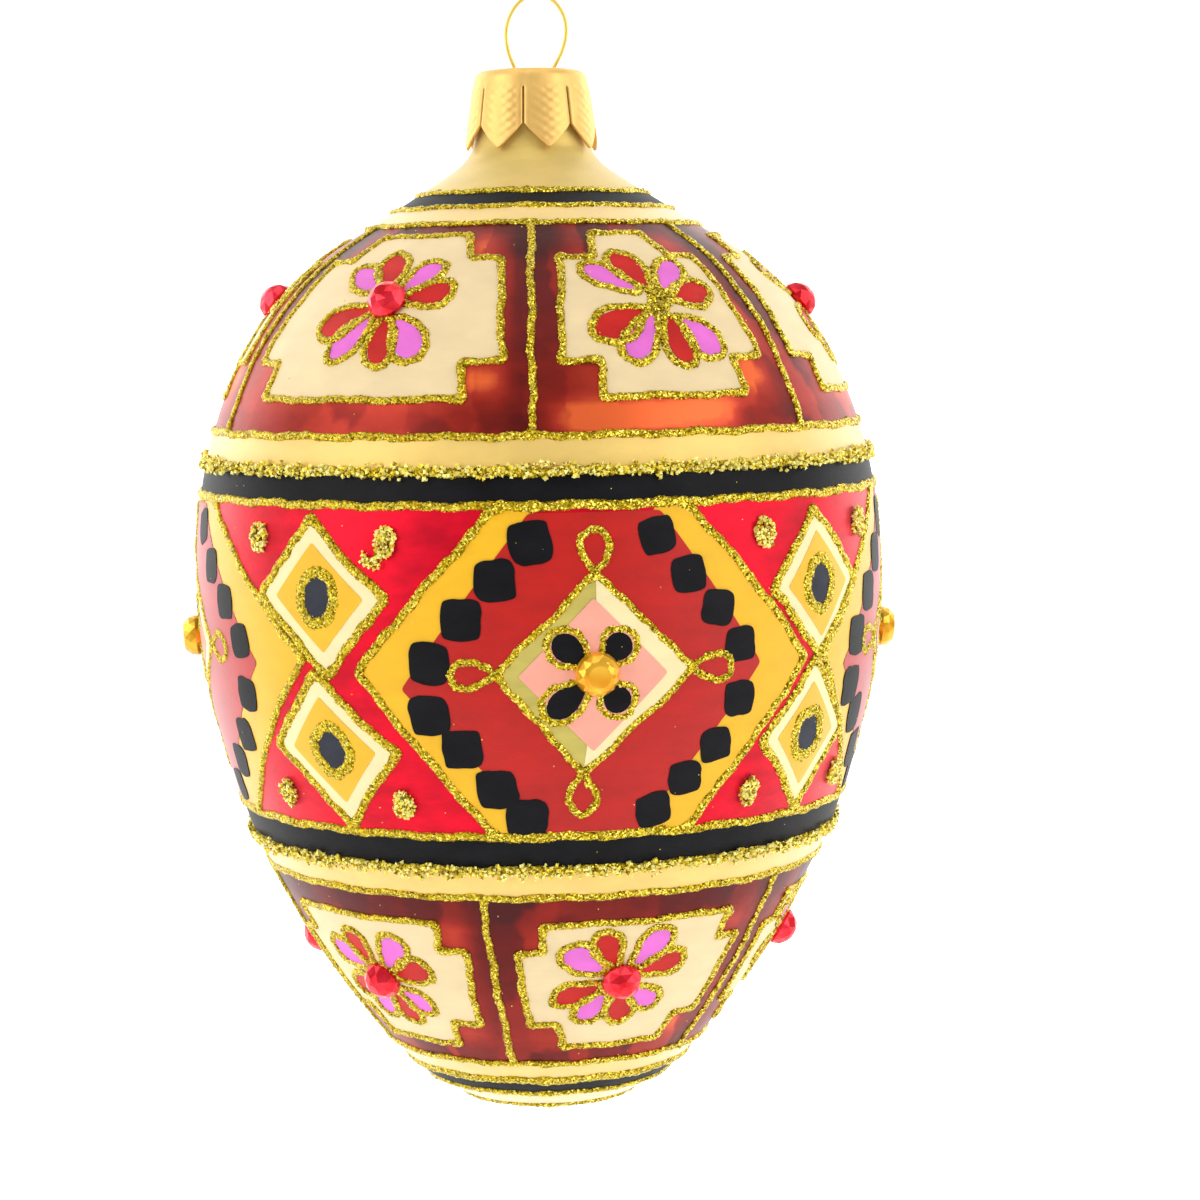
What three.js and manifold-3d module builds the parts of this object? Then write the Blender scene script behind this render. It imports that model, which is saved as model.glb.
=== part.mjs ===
// A blown-glass egg ornament, narrow end down, painted in the pysanka manner.
// Millimetres, +Z up. The origin is the inside of the hanger loop's top, the point the ornament hangs from.
// Pieces: a hollow glass egg with an open neck, a stamped crown cap over the neck, a bent wire hanger
// through two holes in the cap, and glass stones glued to the egg in three rows.

import * as THREE from 'three';
import { mergeVertices } from 'three/addons/utils/BufferGeometryUtils.js';
import Module from 'manifold-3d';

const wasm = await Module();
wasm.setup();

// ---- driving dimensions ----

const AXIS_X = -0.8;             // the loop leans: the egg's axis stands this far from the hang point
const BELLY_Z = -59.8;           // height of the egg's widest circle
const WALL = 0.8;                // glass thickness
const GAP = 0.3;                 // space between neighbouring pieces
const SHELL_SIDES = 48;
const OUTER_STEPS = 30;
const INNER_STEPS = 22;

// Outer outline of the glass from the lip of the neck to the tip: [radius, height above the belly].
const OUTLINE = [
  [5.05, 50.4], [5.3, 48.2], [5.78, 45.5], [6.35, 43.9], [8.3, 42], [16.1, 37], [22.2, 33], [27.1, 28],
  [30.8, 22], [33.4, 15], [34.7, 8], [35, 0], [34.4, -8], [32.6, -16], [30.1, -24], [26.2, -32],
  [22.7, -38], [19.2, -43], [16.1, -47], [12.6, -50.5], [8.4, -52.9], [4.2, -53.9], [0, -54],
];

const SHEET = 0.3;               // cap metal
const CAP_TOP_Z = -7.5;
const CAP_FLAT_R = 4.7;          // flat part of the cap's top
const CAP_EDGE_R = 5.8;          // just under its rounded edge
const CAP_EDGE_DROP = 1.1;
const PETAL_TIP_R = 6.8;
const PETAL_TIP_Z = -15.5;
const PETALS = 8;
const PETAL_TURN = 16.5;         // degrees from the front to the nearest petal tip
const NOTCH_TOP_Z = -13.1;       // where neighbouring petals meet
const SLIT_TOP_Z = -9.4;
const SLIT_WIDTH = 0.25;
const CAP_SIDES = 64;
const WIRE_HOLE_R = 1.0;

const WIRE_R = 0.22;
const WIRE_SIDES = 8;
const WIRE_STEPS = 84;
const LEAN_DEPTH = 11.5;         // the loop's middle reaches the egg's axis this far down

// Half of the hanger's centre line: [distance from its middle, height], from the loop down to a leg's end.
const HANGER_HALF = [
  [1.6, -0.42], [2.7, -1.9], [3.05, -3.7], [2.7, -5.6], [1.78, -7.65], [1.95, -8.3],
  [2.85, -9.3], [3.3, -12], [3.45, -17], [3.5, -21.2], [3.05, -21.9],
];

const RED_STONE = { radius: 2.0, height: 1.7 };
const AMBER_STONE = { radius: 2.1, height: 1.8 };
const STONE_SIDES = 12;

// Rows of stones. Each place is [turn from the front in degrees, right positive, height above the belly].
const STONE_ROWS = [
  {
    name: 'red_stone_upper', stone: RED_STONE, material: 'red',
    places: [[-91, 29.1], [-30.4, 28.9], [88.5, 28.5], [147, 28.8], [209, 28.8]],
  },
  {
    name: 'amber_stone', stone: AMBER_STONE, material: 'amber',
    places: [[-83, -4.4], [9.7, -5.4], [90, -5.2], [183, -5.4]],
  },
  {
    name: 'red_stone_lower', stone: RED_STONE, material: 'red',
    places: [[-95, -36.6], [-42.5, -37.3], [18.8, -36.6], [84, -35.7], [143, -36.8], [203, -36.8]],
  },
];

// ---- materials ----

const materials = {
  glass: new THREE.MeshStandardMaterial({ color: 0x9c2f22, roughness: 0.25, metalness: 0.1 }),
  gold: new THREE.MeshStandardMaterial({ color: 0xf2c562, roughness: 0.35, metalness: 0.9 }),
  red: new THREE.MeshStandardMaterial({ color: 0xd81226, roughness: 0.08, metalness: 0.2 }),
  amber: new THREE.MeshStandardMaterial({ color: 0xf0a83a, roughness: 0.08, metalness: 0.1 }),
};

// ---- helpers ----

const radians = THREE.MathUtils.degToRad;
const pair = ([x, y]) => new THREE.Vector2(x, y);

// A lathe around +Z: the points are [radius, height].
function turned(points, sides) {
  return new THREE.LatheGeometry(points, sides).rotateX(Math.PI / 2);
}

function toSolid(geometry) {
  const bare = geometry.clone();
  bare.deleteAttribute('normal');
  bare.deleteAttribute('uv');
  const merged = mergeVertices(bare, 1e-4);
  const vertProperties = new Float32Array(merged.attributes.position.array);
  const triVerts = new Uint32Array(merged.index.array);
  return new wasm.Manifold(new wasm.Mesh({ numProp: 3, vertProperties, triVerts }));
}

function toGeometry(solid) {
  const { vertProperties, triVerts } = solid.getMesh();
  const geometry = new THREE.BufferGeometry();
  geometry.setAttribute('position', new THREE.BufferAttribute(vertProperties, 3));
  geometry.setIndex(new THREE.BufferAttribute(triVerts, 1));
  geometry.computeVertexNormals();
  return geometry;
}

function named(name, geometry, material) {
  const mesh = new THREE.Mesh(geometry, materials[material]);
  mesh.name = name;
  return mesh;
}

// ---- glass shell ----

const outlineCurve = new THREE.SplineCurve(OUTLINE.map(pair));

// Point on the glass outline and its outward normal, at a fraction of the outline's length.
function outlineAt(fraction) {
  const point = outlineCurve.getPointAt(fraction);
  const along = outlineCurve.getTangentAt(fraction);
  return { point, normal: new THREE.Vector2(-along.y, along.x) };
}

// The fraction of the outline at which it passes a height above the belly.
function fractionAtHeight(height) {
  let low = 0;
  let high = 1;
  for (let step = 0; step < 40; step += 1) {
    const middle = (low + high) / 2;
    if (outlineCurve.getPointAt(middle).y > height) low = middle;
    else high = middle;
  }
  return low;
}

function shellGeometry() {
  const outer = [];
  const inner = [];
  for (let step = 0; step <= OUTER_STEPS; step += 1) {
    outer.push(outlineAt(step / OUTER_STEPS).point);
  }
  for (let step = 0; step <= INNER_STEPS; step += 1) {
    const { point, normal } = outlineAt(step / INNER_STEPS);
    inner.push(point.addScaledVector(normal, -WALL));
  }
  // The wall's end at the lip is level, and both ends at the tip lie on the axis.
  inner[0].y = outer[0].y;
  outer.at(-1).x = 0;
  inner.at(-1).x = 0;
  return turned([...outer.reverse(), ...inner], SHELL_SIDES);
}

function glassShell() {
  const mesh = named('glass_shell', shellGeometry(), 'glass');
  mesh.position.set(AXIS_X, 0, BELLY_Z);
  return mesh;
}

// ---- cap ----

// The cap's sheet: out under the top and down inside the skirt, then back up its outside.
function capSheet() {
  const sheet = new THREE.Path();
  sheet.moveTo(0, CAP_TOP_Z - SHEET);
  sheet.lineTo(CAP_FLAT_R - SHEET, CAP_TOP_Z - SHEET);
  sheet.quadraticCurveTo(
    CAP_EDGE_R - SHEET - 0.1, CAP_TOP_Z - SHEET,
    CAP_EDGE_R - SHEET, CAP_TOP_Z - CAP_EDGE_DROP,
  );
  sheet.lineTo(PETAL_TIP_R - SHEET, PETAL_TIP_Z);
  sheet.lineTo(PETAL_TIP_R, PETAL_TIP_Z);
  sheet.lineTo(CAP_EDGE_R, CAP_TOP_Z - CAP_EDGE_DROP);
  sheet.quadraticCurveTo(CAP_EDGE_R - 0.1, CAP_TOP_Z, CAP_FLAT_R, CAP_TOP_Z);
  sheet.lineTo(0, CAP_TOP_Z);
  return turned(sheet.getPoints(5), CAP_SIDES);
}

// One gap between petals: a narrow slit that opens into a V below.
function petalGap() {
  const reach = PETAL_TIP_R + 1;
  const mouth = PETAL_TIP_R * Math.tan(Math.PI / PETALS);
  const outline = new THREE.Shape([
    [-SLIT_WIDTH / 2, SLIT_TOP_Z], [-SLIT_WIDTH / 2, NOTCH_TOP_Z], [-mouth, PETAL_TIP_Z - 0.1],
    [mouth, PETAL_TIP_Z - 0.1], [SLIT_WIDTH / 2, NOTCH_TOP_Z], [SLIT_WIDTH / 2, SLIT_TOP_Z],
  ].map(pair));
  const prism = new THREE.ExtrudeGeometry(outline, { depth: reach, bevelEnabled: false, steps: 1 });
  return prism.rotateX(Math.PI / 2);
}

function wireHole(x) {
  const depth = 3 * SHEET;
  return new THREE.CylinderGeometry(WIRE_HOLE_R, WIRE_HOLE_R, depth, 24)
    .rotateX(Math.PI / 2)
    .translate(x, 0, CAP_TOP_Z - SHEET / 2);
}

function cap() {
  let solid = toSolid(capSheet());
  for (let petal = 0; petal < PETALS; petal += 1) {
    const turn = radians(PETAL_TURN + (petal + 0.5) * 360 / PETALS);
    solid = solid.subtract(toSolid(petalGap().rotateZ(turn)));
  }
  for (const leg of hangerCrossings(CAP_TOP_Z - SHEET / 2)) {
    solid = solid.subtract(toSolid(wireHole(leg - AXIS_X)));
  }
  const mesh = named('cap', toGeometry(solid), 'gold');
  mesh.position.x = AXIS_X;
  return mesh;
}

// ---- hanger ----

// Sideways place of the hanger's middle at a height: above the hang point, and over the egg's axis below.
function leanAt(height) {
  const depth = Math.min(1, Math.max(0, -height / LEAN_DEPTH));
  return AXIS_X * depth ** 1.5;
}

function hangerCurve() {
  const right = HANGER_HALF.map(([half, z]) => new THREE.Vector3(leanAt(z) + half, 0, z));
  const left = HANGER_HALF.map(([half, z]) => new THREE.Vector3(leanAt(z) - half, 0, z));
  const top = new THREE.Vector3(0, 0, WIRE_R);
  return new THREE.CatmullRomCurve3([...left.reverse(), top, ...right], false, 'centripetal');
}

// Where the two legs cross a height, as X values.
function hangerCrossings(height) {
  const points = hangerCurve().getSpacedPoints(400);
  const crossings = [];
  for (let index = 1; index < points.length; index += 1) {
    if ((points[index - 1].z < height) !== (points[index].z < height)) crossings.push(points[index].x);
  }
  return crossings;
}

function hangerWire() {
  const section = [];
  for (let side = 0; side < WIRE_SIDES; side += 1) {
    const turn = 2 * Math.PI * side / WIRE_SIDES;
    section.push(new THREE.Vector2(WIRE_R * Math.cos(turn), WIRE_R * Math.sin(turn)));
  }
  const geometry = new THREE.ExtrudeGeometry(new THREE.Shape(section), {
    extrudePath: hangerCurve(),
    steps: WIRE_STEPS,
    bevelEnabled: false,
  });
  return named('hanger_wire', geometry, 'gold');
}

// ---- stones ----

// A faceted dome with a small flat table on top and its base at z = 0.
function stoneGeometry({ radius, height }) {
  const outline = [[0, 0], [0.92, 0], [1, 0.22], [0.86, 0.6], [0.5, 0.94], [0.4, 1], [0, 1]];
  return turned(outline.map(([x, y]) => new THREE.Vector2(x * radius, y * height)), STONE_SIDES);
}

function stoneOnEgg(name, row, [turn, height]) {
  const { point, normal } = outlineAt(fractionAtHeight(height));
  const seat = point.addScaledVector(normal, GAP);
  const mesh = named(name, stoneGeometry(row.stone), row.material);
  mesh.position.set(0, -seat.x, seat.y);
  mesh.rotation.x = Math.atan2(normal.x, normal.y);

  const holder = new THREE.Group();
  holder.position.set(AXIS_X, 0, BELLY_Z);
  holder.rotation.z = radians(turn);
  holder.add(mesh);
  return holder;
}

// ---- the ornament ----

const ornament = new THREE.Group();
ornament.add(hangerWire(), cap(), glassShell());
for (const row of STONE_ROWS) {
  row.places.forEach((place, index) => ornament.add(stoneOnEgg(`${row.name}_${index + 1}`, row, place)));
}

export default ornament;
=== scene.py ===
"""The looks of a blown-glass egg ornament, painted in the pysanka manner with glitter lines and glued stones.

The paint is laid out in two coordinates: a turn round the egg in degrees, from the front and positive to the
right, and a height above the belly in millimetres. Every layer is a thin closed skin over the glass.
"""

import random
from math import atan2, ceil, cos, degrees, exp, hypot, pi, radians, sin, sqrt

import bmesh
import bpy
import numpy as np
from mathutils import Matrix, Vector
from mathutils.geometry import delaunay_2d_cdt


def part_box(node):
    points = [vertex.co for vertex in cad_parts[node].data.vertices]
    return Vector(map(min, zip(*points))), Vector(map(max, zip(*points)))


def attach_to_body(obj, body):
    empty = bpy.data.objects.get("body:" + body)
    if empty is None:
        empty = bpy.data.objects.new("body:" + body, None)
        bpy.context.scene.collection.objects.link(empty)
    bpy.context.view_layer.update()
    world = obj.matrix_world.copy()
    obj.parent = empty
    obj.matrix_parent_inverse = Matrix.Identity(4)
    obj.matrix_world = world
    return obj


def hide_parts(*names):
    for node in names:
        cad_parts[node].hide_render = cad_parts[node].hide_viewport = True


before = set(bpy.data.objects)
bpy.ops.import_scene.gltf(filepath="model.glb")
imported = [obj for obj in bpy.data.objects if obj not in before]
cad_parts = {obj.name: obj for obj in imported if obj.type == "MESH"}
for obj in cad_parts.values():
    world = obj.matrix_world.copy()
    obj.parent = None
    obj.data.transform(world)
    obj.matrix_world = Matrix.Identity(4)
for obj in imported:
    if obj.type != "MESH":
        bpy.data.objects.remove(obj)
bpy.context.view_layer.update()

MM = 0.001

# ---- the glass outline ----

# Outer outline of the glass from the lip of the neck to the tip: (radius, height above the belly), mm.
OUTLINE = [
    (5.05, 50.4), (5.3, 48.2), (5.78, 45.5), (6.35, 43.9), (8.3, 42), (16.1, 37), (22.2, 33), (27.1, 28),
    (30.8, 22), (33.4, 15), (34.7, 8), (35, 0), (34.4, -8), (32.6, -16), (30.1, -24), (26.2, -32),
    (22.7, -38), (19.2, -43), (16.1, -47), (12.6, -50.5), (8.4, -52.9), (4.2, -53.9), (0, -54),
]
WALL = 0.8  # the thickness of the glass
LIP_HEIGHT = OUTLINE[0][1]

glass_low, glass_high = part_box("glass_shell")
AXIS_X = (glass_low.x + glass_high.x) / 2 / MM
BELLY_Z = glass_high.z / MM - LIP_HEIGHT

# ---- the painted pattern ----

UPPER_DIVIDERS = [-66, 0.5, 51.5, 117, 178, 239]
LOWER_DIVIDERS = [-75, -11, 54, 114, 173, 231]
# Columns of two diamonds: (turn, lean, half width), degrees.
DIAMOND_COLUMNS = [(-35.5, 1.4, 12.5), (51.3, 0.8, 11.3), (136, -0.9, 12.5), (229.5, 0.7, 12.2)]
BARE_FLOWER = (27.3, 28.6)  # the one flower without a stone

# Painted rings: (name, upper height, lower height, paint).
RINGS = [
    ("neck_gold", 50.3, 39.8, "pearl"),
    ("collar_black", 39.8, 38.2, "black"),
    ("collar_cream", 38.2, 36.5, "cream"),
    ("shoulder_cream", 16.5, 13.3, "cream"),
    ("shoulder_black", 13.3, 10.2, "black"),
    ("middle_crimson", 10.2, -21.1, "crimson"),
    ("foot_black", -21.1, -24.4, "black"),
    ("foot_cream", -24.4, -27.4, "cream"),
    ("tip_cream", -46.5, -48.6, "cream"),
    ("tip_black", -48.6, -50.5, "black"),
    ("tip_pale", -50.5, -52.6, "cream"),
]
# Glitter rings: (height, width).
GLITTER_RINGS = [
    (39.8, 0.8), (38.2, 0.75), (36.5, 0.75), (16.5, 0.8), (10.2, 0.85), (-21.1, 0.9),
    (-27.4, 0.8), (-46.5, 0.75), (-48.7, 1.2), (-50.5, 0.8), (-52.6, 0.8),
]
GRAIN_RINGS = [13.3, -24.5]
UPPER_PANEL = (36.5, 16.5)
LOWER_PANEL = (-27.4, -46.5)
# A cartouche's gaps from the dividers beside it, in mm at its top, middle and bottom, and its heights.
UPPER_GAPS, UPPER_STEPS = (5.8, 2.7, 6.5), (35.3, 33.0, 23.3, 19.9)
LOWER_GAPS, LOWER_STEPS = (5.2, 2.5, 5.3), (-30.4, -33.4, -41.7, -44.4)

PAINT_STEP = 0.025  # how far each layer of paint stands above the one below, mm
LINE_WIDTH = 0.78  # of a line of fine glitter, mm
LINE_HEIGHT = 0.28
COARSE_GRAIN = 0.25
STRAY_GRAIN = 0.07


def smooth_outline(points, steps):
    """The Catmull-Rom curve through the points."""
    points = np.array(points, float)
    padded = np.vstack([points[:1], points, points[-1:]])
    t = np.linspace(0, 1, steps, endpoint=False)[:, None]
    spans = []
    for before, start, end, after in zip(padded, padded[1:], padded[2:], padded[3:]):
        leave, arrive = (end - before) / 2, (after - start) / 2
        cubic = 2 * start - 2 * end + leave + arrive
        square = 3 * end - 3 * start - 2 * leave - arrive
        spans.append(cubic * t**3 + square * t**2 + leave * t + start)
    return np.vstack([*spans, points[-1:]])


CURVE = smooth_outline(OUTLINE, 24)
ARCS = np.concatenate([[0], np.cumsum(np.hypot(*np.diff(CURVE, axis=0).T))])
ALONG = np.gradient(CURVE, ARCS, axis=0)
ALONG /= np.linalg.norm(ALONG, axis=1)[:, None]


def arc_at(height):
    """Millimetres down the outline from the lip to a height."""
    return np.interp(-np.asarray(height, float), -CURVE[:, 1], ARCS)


def radius_at(height):
    return np.interp(-np.asarray(height, float), -CURVE[:, 1], CURVE[:, 0])


def on_egg(turns, arcs, lift=0.0):
    """Points in metres and their outward normals, at turns in degrees and arcs in mm, lifted off by mm."""
    turns, arcs = np.broadcast_arrays(np.radians(turns), np.asarray(arcs, float))
    radius, height = (np.interp(arcs, ARCS, column) for column in CURVE.T)
    along_r, along_h = (np.interp(arcs, ARCS, column) for column in ALONG.T)
    out_r, out_h = -along_h, along_r
    reach = radius + lift * out_r
    points = np.stack(
        [AXIS_X + reach * np.sin(turns), -reach * np.cos(turns), BELLY_Z + height + lift * out_h], axis=-1
    )
    normals = np.stack([out_r * np.sin(turns), -out_r * np.cos(turns), out_h], axis=-1)
    return points * MM, normals


def beside(turn, height, right, up):
    """The (turn, height) that lies some mm to the right of a place on the egg and some mm up its outline."""
    there = float(np.interp(arc_at(height) - up, ARCS, CURVE[:, 1]))
    return turn + degrees(right / max(4.0, float(radius_at(there)))), there


def stone_seat(node):
    """The turn and height of the place on the egg where a stone is glued."""
    low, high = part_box(node)
    centre = (low + high) / 2 / MM
    out = hypot(centre.x - AXIS_X, centre.y)
    nearest = np.hypot(CURVE[:, 0] - out, CURVE[:, 1] - centre.z + BELLY_Z).argmin()
    return degrees(atan2(centre.x - AXIS_X, -centre.y)), float(CURVE[nearest, 1])


def stone_row(row, count):
    return [stone_seat(f"{row}_{number}") for number in range(1, count + 1)]


UPPER_STONES = stone_row("red_stone_upper", 5)
LOWER_STONES = stone_row("red_stone_lower", 6)
AMBER_STONES = stone_row("amber_stone", 4)


# ---- materials ----

def blank(name):
    """A new material, its node tree and its Principled shader."""
    material = bpy.data.materials.new(name)
    material.use_nodes = True
    return material, material.node_tree, material.node_tree.nodes["Principled BSDF"]


def set_inputs(tree, node, inputs):
    """Give each named or numbered input a value or another node's output."""
    for name, value in inputs.items():
        if isinstance(value, bpy.types.NodeSocket):
            tree.links.new(value, node.inputs[name])
        else:
            node.inputs[name].default_value = value


def make(tree, kind, inputs, **settings):
    """A new node."""
    node = tree.nodes.new("ShaderNode" + kind)
    for name, value in settings.items():
        setattr(node, name, value)
    set_inputs(tree, node, inputs)
    return node


def sums(tree, operation, *values):
    return make(tree, "Math", dict(enumerate(values)), operation=operation).outputs[0]


def object_place(tree):
    """Where a point lies in the object's own metres."""
    return make(tree, "TexCoord", {}).outputs["Object"]


def noise(tree, scale, detail=3.0, stretch=(1, 1, 1)):
    """A noise texture in the object's own metres; stretch makes it finer along an axis."""
    mapping = make(tree, "Mapping", {"Vector": object_place(tree), "Scale": stretch})
    inputs = {"Vector": mapping.outputs["Vector"], "Scale": scale, "Detail": detail}
    return make(tree, "TexNoise", inputs).outputs["Fac"]


def ramp(tree, factor, stops):
    """A colour ramp through (position, colour) stops."""
    node = make(tree, "ValToRGB", {"Fac": factor})
    elements = node.color_ramp.elements
    while len(elements) < len(stops):
        elements.new(0.5)
    for element, (position, colour) in zip(elements, stops):
        element.position = position
        element.color = (*colour, 1)
    return node.outputs["Color"]


def bump(tree, factor, depth):
    """Relief of some mm that follows a factor."""
    return make(tree, "Bump", {"Strength": 1.0, "Distance": depth * MM, "Height": factor}).outputs["Normal"]


def scaled(colour, factor):
    return tuple(min(1.0, channel * factor) for channel in colour)


def paint(name, colour, roughness=0.45, metallic=0.0, specular=0.2, vary=0.1, sheen=0.0):
    """Brushed enamel: its tone drifts over a few millimetres and fine streaks lie in its surface."""
    material, tree, shader = blank(name)
    tone = noise(tree, 260, 4.0, (1, 1, 2.2))
    stops = [(0.3, scaled(colour, 1 - vary)), (0.7, scaled(colour, 1 + vary))]
    set_inputs(tree, shader, {
        "Base Color": ramp(tree, tone, stops), "Normal": bump(tree, noise(tree, 1400, 3.0, (1, 1, 3)), 0.02),
        "Roughness": roughness, "Metallic": metallic, "Specular IOR Level": specular,
        "Sheen Weight": sheen, "Sheen Roughness": 0.45,
    })
    return material


STROKE_GIRTH_R = 27  # the mean radius at which strokes of lacquer are laid out, mm
STROKE_RAGGED = 1.6  # how far a stroke's sides wander, mm
STROKE_SQUASH = 0.6  # below one, strokes are taller than they are wide


def brush_strokes(tree):
    """Upright blocks of uneven tone round the egg, one for each stroke of the brush."""
    split = make(tree, "SeparateXYZ", {0: object_place(tree)})
    sideways = sums(tree, "SUBTRACT", split.outputs["X"], AXIS_X * MM)
    frontwards = sums(tree, "MULTIPLY", split.outputs["Y"], -1.0)
    round_egg = sums(tree, "MULTIPLY", sums(tree, "ARCTAN2", sideways, frontwards), STROKE_GIRTH_R * MM)
    up_egg = sums(tree, "MULTIPLY", split.outputs["Z"], STROKE_SQUASH)
    ragged = noise(tree, 500)
    place = make(tree, "CombineXYZ", {
        "X": sums(tree, "MULTIPLY_ADD", ragged, STROKE_RAGGED * MM, round_egg),
        "Y": sums(tree, "MULTIPLY_ADD", ragged, STROKE_RAGGED / 2 * MM, up_egg),
    })
    inputs = {"Vector": place.outputs[0], "Scale": 240, "Smoothness": 0.25, "Randomness": 0.8}
    settings = {"voronoi_dimensions": "2D", "feature": "SMOOTH_F1", "distance": "CHEBYCHEV"}
    strokes = make(tree, "TexVoronoi", inputs, **settings)
    return make(tree, "SeparateColor", {0: strokes.outputs["Color"]}).outputs["Red"]


def lacquer():
    """Clear red lacquer over silvered glass, deeper where the strokes of the brush overlap.

    The depth attribute says how the strokes follow the painted lines.
    """
    material, tree, shader = blank("lacquer")
    depth = make(tree, "Attribute", {}, attribute_name="lacquer_depth")
    streaks = noise(tree, 420, 4.0, (1, 1, 1.6))
    blocks = sums(tree, "MULTIPLY_ADD", brush_strokes(tree), 0.34, depth.outputs["Fac"])
    total = sums(tree, "MULTIPLY_ADD", streaks, 0.2, blocks)
    stops = [
        (0.14, (0.86, 0.14, 0.036)), (0.38, (0.48, 0.040, 0.020)), (0.6, (0.29, 0.018, 0.011)),
        (0.82, (0.13, 0.010, 0.008)), (1.0, (0.07, 0.010, 0.010)),
    ]
    set_inputs(tree, shader, {
        "Base Color": ramp(tree, total, stops), "Normal": bump(tree, noise(tree, 700, 2.0, (1, 1, 2)), 0.02),
        "Roughness": 0.34, "Metallic": 0.4, "Specular IOR Level": 0.16,
    })
    return material


GLITTER_CELL = 0.15  # one flake of fine glitter, mm
FLAKE_TILT = 1.3  # the spread of the flakes' tilts, against an upright normal of one


def glitter():
    """Fine glitter in glue: each small cell has its own tilt and its own gold, whose darkest and brightest
    tones are partly painted shade and painted glints.
    """
    material, tree, shader = blank("glitter")
    cells = make(tree, "TexVoronoi", {"Vector": object_place(tree), "Scale": 1 / (GLITTER_CELL * MM)})
    cell = cells.outputs["Color"]
    gold = make(tree, "SeparateColor", {0: cell}).outputs["Red"]
    # Dark olive to bright yellow: the darkest cells are painted shade and the brightest are painted glints of
    # flakes, besides their real tilt.
    stops = [
        (0.0, (0.17, 0.105, 0.002)), (0.28, (0.36, 0.24, 0.004)), (0.5, (0.58, 0.41, 0.010)),
        (0.72, (0.86, 0.64, 0.035)), (0.9, (1.0, 0.86, 0.16)),
    ]
    spread = {0: cell, 1: [FLAKE_TILT] * 3, 2: [-FLAKE_TILT / 2] * 3}
    tilt = make(tree, "VectorMath", spread, operation="MULTIPLY_ADD").outputs[0]
    upright = make(tree, "NewGeometry", {}).outputs["Normal"]
    tilted = make(tree, "VectorMath", {0: tilt, 1: upright}, operation="ADD").outputs[0]
    set_inputs(tree, shader, {
        "Base Color": ramp(tree, gold, stops),
        "Normal": make(tree, "VectorMath", {0: tilted}, operation="NORMALIZE").outputs[0],
        "Roughness": 0.34, "Metallic": 0.85, "Specular IOR Level": 0.2,
    })
    return material


def metal(name, colour, roughness, metallic=1.0):
    """Bright metal with a fine drawn grain."""
    material, tree, shader = blank(name)
    tone = noise(tree, 900, 3.0, (1, 1, 0.4))
    set_inputs(tree, shader, {
        "Base Color": ramp(tree, tone, [(0.3, scaled(colour, 0.86)), (0.7, colour)]),
        "Normal": bump(tree, noise(tree, 3000, 2.0), 0.015),
        "Roughness": roughness, "Metallic": metallic,
    })
    return material


def gem(name, dark, bright, grain):
    """Foiled glass under a hard clear coat: its broad cells of lighter and darker colour are painted
    reflections of the foil behind the facets.
    """
    material, tree, shader = blank(name)
    set_inputs(tree, shader, {
        "Base Color": ramp(tree, noise(tree, grain, 1.0), [(0.35, dark), (0.65, bright)]),
        "Roughness": 0.16, "Metallic": 0.55, "Specular IOR Level": 0.3,
        "Coat Weight": 0.25, "Coat Roughness": 0.03,
    })
    return material


PAINTS = {
    "pearl": paint("pearl_gold", (0.72, 0.52, 0.14), 0.42, metallic=0.25, vary=0.06, sheen=0.4),
    "cream": paint("cream_paint", (0.88, 0.61, 0.17), 0.4, metallic=0.2, vary=0.06, sheen=1.0),
    "panel": paint("panel_cream", (0.84, 0.66, 0.38), 0.5, vary=0.05),
    "black": paint("black_paint", (0.0065, 0.006, 0.0075), 0.5, specular=0.1, vary=0.3, sheen=0.06),
    "slate": paint("slate_paint", (0.026, 0.028, 0.042), 0.5, vary=0.2),
    "crimson": paint(
        "crimson_paint", (0.72, 0.001, 0.020), 0.36, metallic=0.4, specular=0.1, vary=0.22, sheen=0.3
    ),
    "brick": paint("brick_paint", (0.50, 0.008, 0.004), vary=0.1, sheen=0.6),
    "yellow": paint("yellow_paint", (0.90, 0.49, 0.012), vary=0.05, sheen=0.6),
    "pale": paint("pale_yellow_paint", (0.92, 0.79, 0.43), vary=0.04),
    "khaki": paint("khaki_paint", (0.57, 0.47, 0.11), vary=0.12),
    "pink": paint("pink_paint", (0.93, 0.40, 0.30), vary=0.05),
    "red": paint("petal_red", (0.56, 0.014, 0.010), vary=0.14),
    "violet": paint("petal_violet", (0.80, 0.17, 0.64), vary=0.08),
}
LACQUER = lacquer()
GLITTER = glitter()
# The golds of coarse glitter, and how much of it each one makes up: the brightest is a painted glint and the
# olive a painted shade, lit and shaded copies of the middle gold.
GRAIN_SHARES = [0.5, 0.35, 0.15]
GRAIN_MATERIALS = [
    metal("grain_painted_glint", (1.0, 0.93, 0.28), 0.25, metallic=0.2),
    metal("grain_gold", (0.98, 0.74, 0.05), 0.3, metallic=0.4),
    metal("grain_olive_painted_shade", (0.30, 0.21, 0.008), 0.35, metallic=0.8),
]


# ---- making pieces ----

def add_object(name, data):
    added = bpy.data.objects.new(name, data)
    bpy.context.scene.collection.objects.link(added)
    return added


def attach(name, data, body):
    """A mesh or curve that rides on its body."""
    piece = add_object(name, data)
    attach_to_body(piece, body)
    return piece


def mesh_from(name, shape, material):
    """The mesh of a finished bmesh, in one material."""
    mesh = bpy.data.meshes.new(name)
    shape.to_mesh(mesh)
    shape.free()
    mesh.materials.append(material)
    return mesh


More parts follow.
